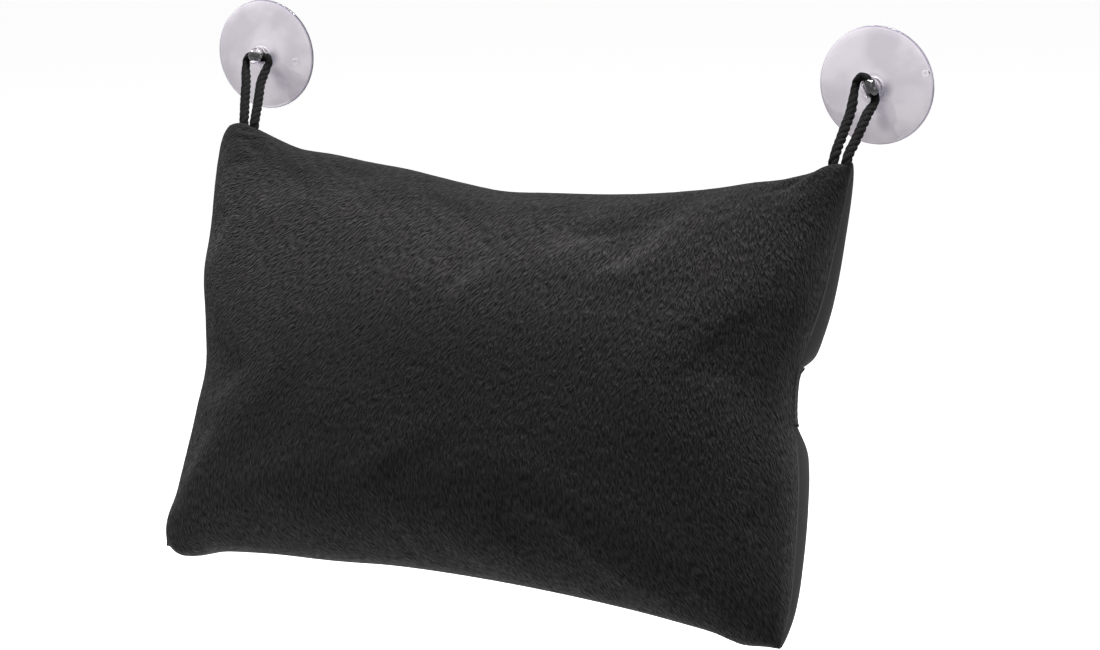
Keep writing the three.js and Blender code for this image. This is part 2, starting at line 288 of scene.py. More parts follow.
def cushion_points(c, side, s, t):
    """Places on the front, side -1, or the back, side 1, for shares s across and t up."""
    rounds = np.where(t > 0, np.where(s < 0, *c.corner_rounds[:2]), np.where(s < 0, *c.corner_rounds[2:]))
    rounding = 1 - rounds * np.abs(s * t) ** 6
    left = c.left_draw * (1 - t * t) * (1 - c.left_skew * t)
    right = c.right_draw * (1 - t * t)
    sag = c.top_draw * (1 - np.abs(s) ** c.top_bend) * (1 + c.top_skew * s)
    upper = c.upper_height - c.upper_slant * s - sag
    lower = c.lower_height + c.lower_slant * s - c.bottom_draw * (1 - s * s)
    x = s * (c.width / 2 - np.where(s < 0, left, right)) * rounding
    x = x - np.where(s < 0, 0, c.opening_pinch * pinch_at(c, t) * s ** 5)
    z = t * np.where(t > 0, upper, lower) * rounding
    pulled = [np.exp(-((x / MM - a) ** 2 + (z / MM - b) ** 2) / r ** 2) * MM for a, b, r, _, _ in PULLS]
    x = x + sum(share * pull[3] for share, pull in zip(pulled, PULLS))
    z = z + sum(share * pull[4] for share, pull in zip(pulled, PULLS))
    crown = c.front_crown if side < 0 else c.back_crown
    fullness = c.front_fullness if side < 0 else c.back_fullness
    drawn = np.exp(-((t * c.upper_height - c.opening_rise) / c.back_pinch_reach) ** 6)
    hollow = c.opening_hollow * pinch_at(c, t) if side < 0 else c.back_hollow * drawn
    return np.stack([x, side * crown * crown_share(s, t, fullness, hollow), z], -1)


def cushion_frame(c):
    """The place of the cushion's own frame."""
    return Matrix.Translation((c.offset, -c.stand_off, -c.drop)) @ Matrix.Rotation(-c.tilt, 4, "X")


COLUMNS = 88
ROWS = 64


def arc_table(c, side):
    """Lengths along the cloth from its middle, over the grid's columns and rows."""
    across = np.sin(np.pi / 2 * np.linspace(-1, 1, COLUMNS + 1))
    up = np.sin(np.pi / 2 * np.linspace(-1, 1, ROWS + 1))
    s, t = np.meshgrid(across, up)
    places = cushion_points(c, side, s, t)
    found = []
    for axis, middle in ((1, COLUMNS // 2), (0, ROWS // 2)):
        steps = np.linalg.norm(np.diff(places, axis=axis), axis=-1)
        along = np.concatenate([np.zeros_like(np.take(steps, [0], axis)), np.cumsum(steps, axis)], axis)
        found.append(along - np.take(along, [middle], axis))
    return found


def once_each(groups):
    """The members of some groups, each once and in the same order each run."""
    return list(dict.fromkeys(member for group in groups for member in group))


def sewn_skin(c):
    """Front and back as one closed skin, sewn along the seam, with its grid shares kept on its points."""
    bm = bmesh.new()
    layers = {name: bm.verts.layers.float.new(name) for name in ("across", "up", "pile_u", "pile_v")}
    back = bm.faces.layers.int.new("back")
    for side in (-1, 1):
        made = bmesh.ops.create_grid(bm, x_segments=COLUMNS, y_segments=ROWS, size=1)["verts"]
        u, v = arc_table(c, side)
        for vert in made:
            column = round((vert.co.x + 1) / 2 * COLUMNS)
            row = round((vert.co.y + 1) / 2 * ROWS)
            vert[layers["across"]] = math.sin(math.pi / 2 * vert.co.x)
            vert[layers["up"]] = math.sin(math.pi / 2 * vert.co.y)
            vert[layers["pile_u"]] = u[row, column]
            vert[layers["pile_v"]] = v[row, column]
        s = np.array([vert[layers["across"]] for vert in made])
        t = np.array([vert[layers["up"]] for vert in made])
        for vert, place in zip(made, cushion_points(c, side, s, t)):
            vert.co = place
        if side > 0:
            sheet = once_each(vert.link_faces for vert in made)
            bmesh.ops.reverse_faces(bm, faces=sheet)
            for face in sheet:
                face[back] = 1
    rim = [vert for vert in bm.verts if vert.is_boundary]
    bmesh.ops.remove_doubles(bm, verts=rim, dist=MM / 100)
    return mesh_from(bm, "skin")


def plumped(skin, cap):
    """Lets cloth under pressure find its own puckers, up to a cap, and leaves out its slow drift."""
    mesh = skin.data
    start = points_of(mesh)
    s, t = floats_of(mesh, "across"), floats_of(mesh, "up")
    held = skin.vertex_groups.new(name="sewn")
    held.add(np.flatnonzero(np.maximum(np.abs(s), np.abs(t)) > 0.9999).tolist(), 1, "REPLACE")
    cloth = skin.modifiers.new("Filling pressure", "CLOTH")
    cloth.settings.quality = 5
    cloth.settings.use_pressure = True
    cloth.settings.uniform_pressure_force = 4
    cloth.settings.vertex_group_mass = held.name
    cloth.settings.shrink_min = -0.02
    cloth.settings.effector_weights.gravity = 0
    scene = bpy.context.scene
    for step in range(1, 21):
        scene.frame_set(step)
    apply_modifiers(skin)
    skin.vertex_groups.clear()
    scene.frame_set(1)
    moved = points_of(skin.data) - start
    inner = steps_of(0.0, 0.12, 1 - np.maximum(np.abs(s), np.abs(t)))
    for side in (-1, 1):
        part = side * start[:, 1] >= 0
        slow = np.polynomial.chebyshev.chebvander2d(s[part], t[part], [6, 6])
        moved[part] -= slow @ np.linalg.lstsq(slow, moved[part], rcond=None)[0]
    moved *= inner[:, None]
    far = np.linalg.norm(moved, axis=1, keepdims=True)
    put_points(skin.data, start + moved * np.minimum(1, cap / np.maximum(far, 1e-9)))


def cut_sheet(skin, back, name):
    """The front or the back of the skin, as a mesh of its own."""
    bm = bmesh.new()
    bm.from_mesh(skin.data)
    layer = bm.faces.layers.int["back"]
    bmesh.ops.delete(bm, geom=[face for face in bm.faces if face[layer] != back], context="FACES")
    return mesh_from(bm, name)


def lined(fine, coarse, thickness, name):
    """A cloth of real thickness: the fine outer face, a coarser lining inside, and a closed edge."""
    bm = bmesh.new()
    bm.from_mesh(fine)
    outer_rim = [edge for edge in bm.edges if edge.is_boundary]
    lining = coarse.copy()
    inward = normals_of(lining)
    thin = np.minimum(1, floats_of(lining, "depth") * 0.4 / thickness)
    put_points(lining, points_of(lining) - inward * (thickness * thin)[:, None])
    before = set(bm.edges)
    known = set(bm.faces)
    bm.from_mesh(lining)
    inner = [face for face in bm.faces if face not in known]
    bmesh.ops.reverse_faces(bm, faces=inner)
    inner_rim = [edge for edge in bm.edges if edge.is_boundary and edge not in before]
    bmesh.ops.bridge_loops(bm, edges=outer_rim + inner_rim)
    bpy.data.meshes.remove(lining)
    return mesh_from(bm, name)


# Materials.
class Nodes:
    """A short way to add linked nodes to a node tree."""

    def __init__(self, tree):
        self.tree = tree

    def add(self, kind, *values, **settings):
        """A node with its settings, whose inputs take values or other nodes' outputs in order."""
        node = self.tree.nodes.new(kind)
        for key, value in settings.items():
            setattr(node, key, value)
        for socket, value in zip(node.inputs, values):
            self.give(socket, value)
        return node

    def give(self, socket, value):
        """Links or sets one input; None leaves it alone."""
        if isinstance(value, bpy.types.NodeSocket):
            self.tree.links.new(value, socket)
        elif value is not None:
            socket.default_value = value

    def math(self, operation, *values, clamp=False):
        """The result of a sum on numbers."""
        return self.add("ShaderNodeMath", *values, operation=operation, use_clamp=clamp).outputs[0]

    def vector(self, operation, *values):
        """The result of a sum on vectors."""
        return self.add("ShaderNodeVectorMath", *values, operation=operation).outputs[0]

    def attribute(self, name):
        """A number kept on the mesh's points."""
        return self.add("ShaderNodeAttribute", attribute_name=name).outputs["Fac"]

    def noise(self, place, scale, detail=2.0, dimensions="3D"):
        """Soft noise from 0 to 1."""
        node = self.add("ShaderNodeTexNoise", noise_dimensions=dimensions)
        self.give(node.inputs["Vector"], place)
        self.give(node.inputs["Scale"], scale)
        self.give(node.inputs["Detail"], detail)
        return node.outputs[0]

    def ramp(self, value, low, high, to_low=0.0, to_high=1.0):
        """A value carried smoothly from one range to another."""
        node = self.add("ShaderNodeMapRange", value, low, high, to_low, to_high,
                        interpolation_type="SMOOTHSTEP")
        return node.outputs[0]

    def scaled(self, colour, share):
        """A colour times a number."""
        node = self.add("ShaderNodeVectorMath", colour, operation="SCALE")
        self.give(node.inputs["Scale"], share)
        return node.outputs[0]

    def turned(self, place, angle):
        """A place turned about Z."""
        node = self.add("ShaderNodeVectorRotate", rotation_type="Z_AXIS")
        self.give(node.inputs["Vector"], place)
        self.give(node.inputs["Angle"], angle)
        return node.outputs[0]

    def blend(self, share, first, second):
        """A mix of two colours."""
        node = self.add("ShaderNodeMix", data_type="RGBA")
        self.give(node.inputs["Factor"], share)
        self.give(node.inputs["A"], first)
        self.give(node.inputs["B"], second)
        return node.outputs["Result"]

    def bump(self, height, distance, strength=1.0, normal=None):
        """A normal from a height in metres times distance."""
        node = self.add("ShaderNodeBump")
        self.give(node.inputs["Strength"], strength)
        self.give(node.inputs["Distance"], distance)
        self.give(node.inputs["Height"], height)
        if normal is not None:
            self.give(node.inputs["Normal"], normal)
        return node.outputs[0]


def group_of(name, inputs, outputs):
    """An empty shader node group with named sockets, and its nodes' helper."""
    tree = bpy.data.node_groups.new(name, "ShaderNodeTree")
    for label, kind, default in inputs:
        socket = tree.interface.new_socket(label, in_out="INPUT", socket_type=kind)
        if default is not None:
            socket.default_value = default
    for label, kind in outputs:
        tree.interface.new_socket(label, in_out="OUTPUT", socket_type=kind)
    nodes = Nodes(tree)
    entry = nodes.add("NodeGroupInput")
    leave = nodes.add("NodeGroupOutput")
    return nodes, entry.outputs, leave.inputs


# The pile's directions, from the first to the last layer of streaks.
NAP_FIRST = math.radians(18)
NAP_STEP = math.radians(20)
NAP_LAYERS = 7

# The tufts of the pile and the locks that they form: length and width.
TUFT = (0.0031, 0.00070)
LOCK = (0.008, 0.0024)


def nap_streaks():
    """A group: soft streaks that lie along the pile's own direction, about zero."""
    known = bpy.data.node_groups.get("Nap streaks")
    if known:
        return known
    nodes, given, result = group_of(
        "Nap streaks",
        [("Place", "NodeSocketVector", None), ("Angle", "NodeSocketFloat", 0.0),
         ("Length", "NodeSocketFloat", 0.006), ("Width", "NodeSocketFloat", 0.001)],
        [("Streaks", "NodeSocketFloat")])
    across = nodes.math("DIVIDE", 1.0, given["Width"])
    along = nodes.math("DIVIDE", 1.0, given["Length"])
    scale = nodes.add("ShaderNodeCombineXYZ", along, across).outputs[0]
    total, power = 0.0, 0.0001
    for layer in range(NAP_LAYERS):
        angle = NAP_FIRST + layer * NAP_STEP
        stretched = nodes.vector("MULTIPLY", nodes.turned(given["Place"], -angle), scale)
        shifted = nodes.vector("ADD", stretched, (17.3 * layer, 9.1 * layer, 0))
        value = nodes.math("SUBTRACT", nodes.noise(shifted, 1.0, 1.0, "2D"), 0.5)
        away = nodes.math("ABSOLUTE", nodes.math("SUBTRACT", given["Angle"], angle))
        weight = nodes.math("SUBTRACT", 1.0, nodes.math("DIVIDE", away, NAP_STEP), clamp=True)
        total = nodes.math("MULTIPLY_ADD", weight, value, total)
        power = nodes.math("MULTIPLY_ADD", weight, weight, power)
    nodes.give(result["Streaks"], nodes.math("DIVIDE", total, nodes.math("SQRT", power)))
    return nodes.tree


def shade_of(colour, *shares):
    """A colour times one share, or times one for each of its parts, with full alpha."""
    shares = shares * 3 if len(shares) == 1 else shares
    return (*(value * share for value, share in zip(colour, shares)), 1)


def material_of(name):
    """A new node material: its nodes' helper and its shader."""
    material = bpy.data.materials.new(name)
    material.use_nodes = True
    tree = material.node_tree
    return material, Nodes(tree), tree.nodes["Principled BSDF"]


def set_shader(shader, **values):
    """Sets a shader's own sockets."""
    for label, value in values.items():
        socket = shader.inputs[label.replace("_", " ")]
        socket.default_value = (*value, 1) if socket.type == "RGBA" and len(value) == 3 else value


def plush_material(c):
    """Short brushed pile: tufts that lie along the nap, with painted shade between them, a soft sheen,
    painted sheen at grazing angles, painted shade where seen face on, and painted light and shade over the
    front.
    """
    material, nodes, shader = material_of("plush")
    laid = nodes.add("ShaderNodeUVMap", uv_map="pile").outputs[0]
    drift = nodes.add("ShaderNodeTexNoise", noise_dimensions="2D")
    nodes.give(drift.inputs["Vector"], laid)
    nodes.give(drift.inputs["Scale"], 190.0)
    sway = nodes.vector("SUBTRACT", drift.outputs["Color"], (0.5, 0.5, 0.5))
    place = nodes.vector("ADD", laid, nodes.vector("MULTIPLY", sway, (0.0022, 0.0022, 0)))
    angle = nodes.attribute("nap")
    streaks = []
    for long, wide in (TUFT, LOCK):
        made = nodes.add("ShaderNodeGroup", node_tree=nap_streaks())
        nodes.give(made.inputs["Place"], place)
        nodes.give(made.inputs["Angle"], angle)
        nodes.give(made.inputs["Length"], long)
        nodes.give(made.inputs["Width"], wide)
        streaks.append(made.outputs[0])
    fine, broad = streaks
    height = nodes.math("MULTIPLY_ADD", broad, 0.05, fine)
    cloud = nodes.noise(place, 45.0, 3.0, "2D")
    clouded = nodes.math("MULTIPLY_ADD", cloud, 0.03, nodes.math("SUBTRACT", height, 0.015))
    # The pile's tips over painted shade between the tufts.
    tips = nodes.ramp(clouded, -0.26, 0.24)
    hue = nodes.ramp(nodes.noise(place, 90.0, 3.0, "2D"), 0.38, 0.62)
    cool = shade_of(c.plush_colour, 0.99, 1.01, 0.99)
    warm = shade_of(c.plush_colour, 1.03, 0.98, 1.01)
    colour = nodes.blend(tips, (*c.root_shade_colour, 1), nodes.blend(hue, cool, warm))
    # Painted shade where the pile is seen face on, and a painted sheen towards grazing angles.
    facing = nodes.add("ShaderNodeLayerWeight").outputs["Facing"]
    painted_face_on_shade = nodes.ramp(facing, 0.06, 0.32, 0.62, 1.0)
    painted_grazing_sheen = nodes.ramp(facing, 0.36, 0.64, 1.0, 1.35)
    glow = nodes.math("MULTIPLY", painted_face_on_shade, painted_grazing_sheen)
    # Painted light and shade: the painted sheen and face-on shade times the painted light bands over the
    # front.
    painted_light = nodes.math("MULTIPLY", glow, nodes.attribute("painted_light"))
    nodes.give(shader.inputs["Base Color"], nodes.scaled(colour, painted_light))
    nodes.give(shader.inputs["Roughness"], nodes.ramp(height, -0.3, 0.3, 0.95, 0.72))
    nodes.give(shader.inputs["Normal"], nodes.bump(height, 0.0013, 1.0))
    set_shader(shader, Specular_IOR_Level=0.10, Sheen_Weight=0.03, Sheen_Roughness=0.5,
               Sheen_Tint=(0.8, 0.78, 0.8))
    return material


# The back's fine knit, from one stitch to the next, across and up.
WALE_PITCH = 0.0007
ROW_PITCH = 0.0005


def back_material(c):
    """Fine stretch jersey, matt, with a painted highlight along the seam."""
    material, nodes, shader = material_of("back_cloth")
    place = nodes.add("ShaderNodeUVMap", uv_map="pile").outputs[0]
    parts = nodes.add("ShaderNodeSeparateXYZ", place).outputs
    wales = nodes.math("SINE", nodes.math("MULTIPLY", parts[0], 2 * math.pi / WALE_PITCH))
    rows = nodes.math("SINE", nodes.math("MULTIPLY", parts[1], 2 * math.pi / ROW_PITCH))
    knit = nodes.math("MULTIPLY", wales, nodes.math("MULTIPLY_ADD", rows, 0.4, 0.6))
    cloud = nodes.noise(place, 60.0, 4.0, "2D")
    grain = nodes.noise(place, 1800.0, 1.0, "2D")
    # A painted highlight in a narrow band along the seam.
    edge = nodes.ramp(nodes.attribute("seam"), 0.0004, 0.0012, 1.0, 0.0)
    paler = nodes.ramp(cloud, 0.35, 0.65, 0.0, 0.35)
    plain = nodes.blend(paler, (*c.back_colour, 1), shade_of(c.back_colour, 1.25))
    painted_seam_highlight = nodes.math("MULTIPLY", edge, 0.8)
    nodes.give(shader.inputs["Base Color"], nodes.blend(painted_seam_highlight, plain, (*c.seam_highlight_colour, 1)))
    nodes.give(shader.inputs["Roughness"], nodes.ramp(grain, 0.3, 0.7, 0.72, 0.86))
    weave = nodes.bump(knit, 0.00006, 0.7)
    nodes.give(shader.inputs["Normal"], nodes.bump(cloud, 0.0012, 0.3, weave))
    set_shader(shader, Specular_IOR_Level=0.10, Sheen_Weight=0.03, Sheen_Roughness=0.5)
    return material


def cord_material(c):
    """Black twisted yarn: fine fibres wind round each strand, and the valleys between strands are darker."""
    material, nodes, shader = material_of("cord")
    around = nodes.math("ARCTAN2", nodes.attribute("yarn_y"), nodes.attribute("yarn_x"))
    along = nodes.math("MULTIPLY", nodes.attribute("yarn_z"), 2 * math.pi / c.fibre_lay)
    fibres = nodes.math("SINE", nodes.math("MULTIPLY_ADD", around, 6.0, along))
    place = nodes.add("ShaderNodeTexCoord").outputs["Object"]
    fuzz = nodes.noise(place, 1500.0, 3.0)
    patches = nodes.noise(place, 420.0, 2.0)
    height = nodes.math("MULTIPLY_ADD", fuzz, 1.6, nodes.math("MULTIPLY", fibres, 0.2))
    share = nodes.ramp(nodes.math("MULTIPLY_ADD", patches, 1.2, height), 0.7, 2.1)
    yarn = nodes.blend(share, shade_of(c.colour, 0.25), shade_of(c.colour, 1.9))
    nodes.give(shader.inputs["Base Color"], yarn)
    nodes.give(shader.inputs["Roughness"], nodes.ramp(fuzz, 0.3, 0.7, 0.75, 0.95))
    nodes.give(shader.inputs["Normal"], nodes.bump(height, 0.00028, 0.9))
    set_shader(shader, Specular_IOR_Level=0.06, Sheen_Weight=0.01, Sheen_Roughness=0.5)
    return material


def vinyl_material(c):
    """Clear soft vinyl with a lilac tint, painted light above and painted shade below, a painted dark rim,
    painted shade at the knob's foot, a painted dark reflection below the knob and a small moulding mark.
    """
    material, nodes, shader = material_of("clear_vinyl")
    place = nodes.add("ShaderNodeTexCoord").outputs["Object"]
    flat = nodes.add("ShaderNodeUVMap", uv_map="face").outputs[0]
    parts = nodes.add("ShaderNodeSeparateXYZ", flat).outputs
    reach = nodes.add("ShaderNodeVectorMath", flat, operation="LENGTH").outputs["Value"]
    turn = nodes.math("ARCTAN2", parts[1], parts[0])
    waves = nodes.noise(place, 90.0, 2.0)
    haze = nodes.noise(place, 320.0, 3.0)
    patches = nodes.ramp(nodes.noise(place, 55.0, 3.0), 0.38, 0.62)
    patched = nodes.blend(patches, shade_of(c.tint, 1.04), shade_of(c.tint, 0.86, 0.855, 0.875))
    # Painted light on the cup's upper part, painted shade towards its bottom.
    plain = nodes.scaled(patched, nodes.ramp(parts[1], -20 * MM, 14 * MM, 0.76, 1.06))
    # Painted shade at the knob's foot, towards the lower right.
    low_right = nodes.ramp(nodes.math("COSINE", nodes.math("ADD", turn, math.radians(38))), 0.2, 1.0)
    foot = nodes.math("MULTIPLY", low_right, nodes.ramp(reach, 4.5 * MM, 9.5 * MM, 0.9, 0.0))
    # A painted dark reflection of the cord and cushion, in a lane that runs from the knob towards the lip.
    lane_turn = nodes.math("MULTIPLY", nodes.attribute("dark_reflection_turn"), -1.0)
    lane = nodes.add("ShaderNodeSeparateXYZ", nodes.turned(flat, lane_turn)).outputs
    beside = nodes.ramp(nodes.math("ABSOLUTE", lane[1]), 0.5 * MM, 4.5 * MM, 1.0, 0.0)
    start = nodes.ramp(lane[0], 3 * MM, 9 * MM)
    stop = nodes.ramp(lane[0], 16 * MM, 22 * MM, 0.42, 0.0)
    dark_reflection = nodes.math("MULTIPLY", beside, nodes.math("MULTIPLY", start, stop))
    shaded = nodes.blend(nodes.math("MAXIMUM", foot, dark_reflection), plain, (*c.painted_shade, 1))
    # A painted dark rim along the lip, darker on the right.
    right_side = nodes.math("COSINE", nodes.math("SUBTRACT", turn, math.radians(20)))
    rim_shade_side = nodes.ramp(right_side, -0.4, 0.5, 0.3, 0.9)
    lip = c.diameter / 2
    rim = nodes.math("MULTIPLY", rim_shade_side, nodes.ramp(reach, lip - 0.7 * MM, lip - 0.2 * MM))
    nodes.give(shader.inputs["Base Color"], nodes.blend(rim, shaded, (*c.rim, 1)))
    nodes.give(shader.inputs["Roughness"], nodes.ramp(haze, 0.3, 0.7, 0.03, 0.10))
    mark = nodes.add("ShaderNodeCombineXYZ", nodes.attribute("mark_x"), nodes.attribute("mark_z"), 0.0)
    off = nodes.add("ShaderNodeVectorMath", flat, mark.outputs[0], operation="DISTANCE").outputs["Value"]
    from_ring = nodes.math("ABSOLUTE", nodes.math("SUBTRACT", off, 1.1 * MM))
    ring = nodes.math("SUBTRACT", 1.0, nodes.math("DIVIDE", from_ring, 0.45 * MM), clamp=True)
    uneven = nodes.bump(waves, 0.0015, 0.25)
    nodes.give(shader.inputs["Normal"], nodes.bump(ring, 0.0003, 0.7, uneven))
    set_shader(shader, Transmission_Weight=1.0, IOR=1.50, Specular_IOR_Level=0.6)
    return material


def bead_material():
    """Loose white foam beads, with painted shade in the gaps between them."""
    material, nodes, shader = material_of("beads")
    place = nodes.add("ShaderNodeTexCoord").outputs["Object"]
    cells = nodes.add("ShaderNodeTexVoronoi")
    nodes.give(cells.inputs["Vector"], place)
    nodes.give(cells.inputs["Scale"], 330.0)
    near = nodes.ramp(cells.outputs["Distance"], 0.0, 0.75)
    nodes.give(shader.inputs["Base Color"], nodes.blend(near, (0.86, 0.85, 0.82, 1), (0.42, 0.41, 0.39, 1)))
    nodes.give(shader.inputs["Roughness"], nodes.ramp(near, 0.0, 1.0, 0.55, 0.8))
    nodes.give(shader.inputs["Normal"], nodes.bump(nodes.math("SUBTRACT", 1.0, near), 0.0012, 0.9))
    return material


def finish_piece(piece, body, material, node):
    """Gives a piece its finish and its body, if it has just one, and hides the solid that it stands for."""
    piece.data.materials.clear()
    piece.data.materials.append(material)
    if body is not None:
        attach(piece, body)
    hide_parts(node)


# Half the laid-out front, across and up.
HALF_ACROSS = 0.150
HALF_UP = 0.105


def nap_angle(u, v):
    """The pile's direction on the laid-out front, from level: right at the top and left at the foot."""
    x, y = u / HALF_ACROSS, v / HALF_UP
    upright = 70 - 40 * y + 30 * y ** 2
    sideways = 20 * x + 30 * x ** 3
    corners = 20 * x * y * (1 + x) - 30 * x * y ** 2
    angle = np.radians(upright + sideways + corners)
    return np.clip(angle, NAP_FIRST, NAP_FIRST + NAP_STEP * (NAP_LAYERS - 1))


# The soft relief that the tufts give the front: its length, width and rise.
RELIEF_LENGTH = 0.013
RELIEF_WIDTH = 0.0034
RELIEF_RISE = 0.00006


def pile_relief(u, v, angle):
    """Soft tufts along the nap, from about -1 to 1, at each point of the laid-out front."""
    level = (angle - NAP_FIRST) / NAP_STEP
    first = np.clip(np.floor(level), 0, NAP_LAYERS - 2)
    found = np.zeros_like(u)
    weights = np.zeros_like(u)
    for extra in (0, 1):
        layer = first + extra
        weight = np.clip(1 - np.abs(level - layer), 0, 1)
        turn = NAP_FIRST + layer * NAP_STEP
        along = (u * np.cos(turn) + v * np.sin(turn)) / RELIEF_LENGTH
        across = (v * np.cos(turn) - u * np.sin(turn)) / RELIEF_WIDTH
        value = np.array([noise.noise((a, b, k)) for a, b, k in zip(along, across, 7.7 * layer)])
        found += weight * value
        weights += weight * weight
    return found / np.sqrt(np.maximum(weights, 0.01))


# Soft dents, and ridges below zero, on the laid-out front: place across and up, half length,
# half width, turn in degrees, and depth. Millimetres.
DENTS = [
    (-136, 99, 8, 1.5, 4, 0.9), (-133, 94, 9, 1.6, 12, 0.7), (-126, 89, 9, 3.5, -35, 1.2),
    (-118, 88, 7, 3.0, -60, -0.8), (-130, 80, 8, 3.2, 20, 1.0), (-97, 74, 11, 4.0, -28, 1.0),
    (-69, 82, 10, 3.5, -20, 0.9), (-43, 64, 14, 5.0, -25, 0.4), (131, 92, 9, 2.6, 48, 1.7),
    (140, 93, 8, 3.0, 52, -1.0), (130, 5, 16, 3.0, 4, 0.12), (131, -18, 14, 3.5, -12, 0.15),
    (-18, -84, 14, 2.6, -66, 0.8), (-10, -82, 14, 3.5, -66, -0.3), (58, -101, 6, 2.2, 60, 1.0),
    (132, -103, 6, 2.6, 70, 1.0), (-128, -96, 8, 3.0, 55, 1.2), (106, 58, 16, 5.0, 40, 0.3),
]


def dent_depth(u, v):
    """How far the named dents sink the front at each point of the laid-out cloth."""
    depth = np.zeros_like(u)
    for across, up, long, wide, turn, deep in DENTS:
        a, b = u / MM - across, v / MM - up
        cosine, sine = math.cos(math.radians(turn)), math.sin(math.radians(turn))
        along = (a * cosine + b * sine) / long
        beside = (b * cosine - a * sine) / wide
        depth += deep * MM * np.exp(-along ** 2 - beside ** 2)
    return depth


def painted_pile_light(s, t):
    """Painted light and shade for the pile: lighter bands on the upper bulge and near the bottom, a lighter
    patch at the upper right, and painted shade under the top seam.
    """
    upper = 0.26 * np.exp(-((t - 0.45) / 0.22) ** 2)
    lower = 0.33 * np.exp(-((t + 0.78) / 0.30) ** 2)
    patch = 0.25 * np.exp(-((s - 0.42) / 0.25) ** 2 - ((t - 0.42) / 0.20) ** 2)
    return 1 + upper + lower + patch - 0.78 * steps_of(0.62, 0.98, t)


def lay_uv(mesh, name, u, v):
    """Stores a UV map from two numbers at each point."""
    corners = np.empty(len(mesh.loops), np.int32)
    mesh.loops.foreach_get("vertex_index", corners)
    for known in list(mesh.uv_layers):
        mesh.uv_layers.remove(known)
    layer = mesh.uv_layers.new(name=name)
    layer.data.foreach_set("uv", np.stack([u[corners], v[corners]], -1).astype(np.float32).ravel())


def seam_reach(c, rise):
    """How far the right-hand seam lies from the middle at a height above it."""
    t = np.asarray(rise) / c.upper_height
    return cushion_points(c, -1, np.ones_like(t), t)[:, 0]


def sewn_lips(c):
    """The folded lips of the filling opening: two turned edges sewn flat with short stitches."""
    bm = bmesh.new()
    half = c.opening_length / 2
    root = 0.5 * MM
    for side in (-1, 1):
        made = bmesh.ops.create_grid(bm, x_segments=8, y_segments=52, size=1)["verts"]
        along = np.array([vert.co.y for vert in made])
        across = np.array([(vert.co.x + 1) / 2 for vert in made])
        rise = c.opening_rise + along * half
        flare = c.lip_width + c.lip_flare * along ** 8 * np.where(along > 0, 1, 0.4)
        out = seam_reach(c, rise) - root + across * (flare + root)
        gather = 0.12 * MM * np.sin(along * half / c.stitch_pitch * 2 * math.pi)
        fold = 0.5 + 0.35 * np.sqrt(np.maximum(0, 1 - across ** 4))
        off = side * (0.1 * MM + c.lip_thickness * fold) + gather
        for vert, place in zip(made, zip(out, off, rise)):
            vert.co = place
        faces = once_each(vert.link_faces for vert in made)
        bmesh.ops.solidify(bm, geom=faces, thickness=side * 0.8 * c.lip_thickness)
    bmesh.ops.recalc_face_normals(bm, faces=bm.faces)
    stitch = Matrix.Diagonal((0.3, 0.3, 0.95, 1))
    for side in (-1, 1):
        for index in range(int(c.opening_length / c.stitch_pitch)):
            rise = c.opening_rise - half + (index + 0.7) * c.stitch_pitch
            out = float(seam_reach(c, [rise])[0]) + 0.45 * c.lip_width
            lay = Matrix.Translation((out, side * 1.02 * c.lip_thickness, rise)) @ stitch
            bmesh.ops.create_icosphere(bm, subdivisions=2, radius=c.stitch_pitch * 0.42, matrix=lay)
    return mesh_from(bm, "sewn_lips")


def brush_pile(mesh):
    """Raises the pile and sinks the dents of the front, and keeps the pile's direction and its painted light
    and shade.
    """
    u, v = floats_of(mesh, "pile_u"), floats_of(mesh, "pile_v")
    angle = nap_angle(u, v)
    put_floats(mesh, "nap", angle)
    put_floats(mesh, "painted_light", painted_pile_light(floats_of(mesh, "across"), floats_of(mesh, "up")))
    rise = RELIEF_RISE * steps_of(1 * MM, 6 * MM, floats_of(mesh, "seam"))
    out = pile_relief(u, v, angle) * rise - dent_depth(u, v)
    put_points(mesh, points_of(mesh) + normals_of(mesh) * out[:, None])


def cloth_piece(skin, back, name, thickness):
    """The front or the back cloth, smoothed, lined and with its laid-out map."""
    coarse = cut_sheet(skin, back, name + "_lining")
    piece = linked(name, coarse.copy())
    smooth = piece.modifiers.new("Smooth cloth", "SUBSURF")
    smooth.levels = 2
    smooth.render_levels = 2
    apply_modifiers(piece)
    if not back:
        brush_pile(piece.data)
    piece.data = lined(piece.data, coarse, thickness, name)
    lay_uv(piece.data, "pile", floats_of(piece.data, "pile_u"), floats_of(piece.data, "pile_v"))
    return piece


def filling_piece(c, skin):
    """The filling, a little inside both cloths."""
    piece = linked("bead_fill", skin.data.copy())
    inset = c.plush_thickness + 0.4 * MM
    thin = np.minimum(1, floats_of(piece.data, "depth") * 0.45 / inset)
    inner = points_of(piece.data) - normals_of(piece.data) * (inset * thin)[:, None]
    put_points(piece.data, inner)
    return piece


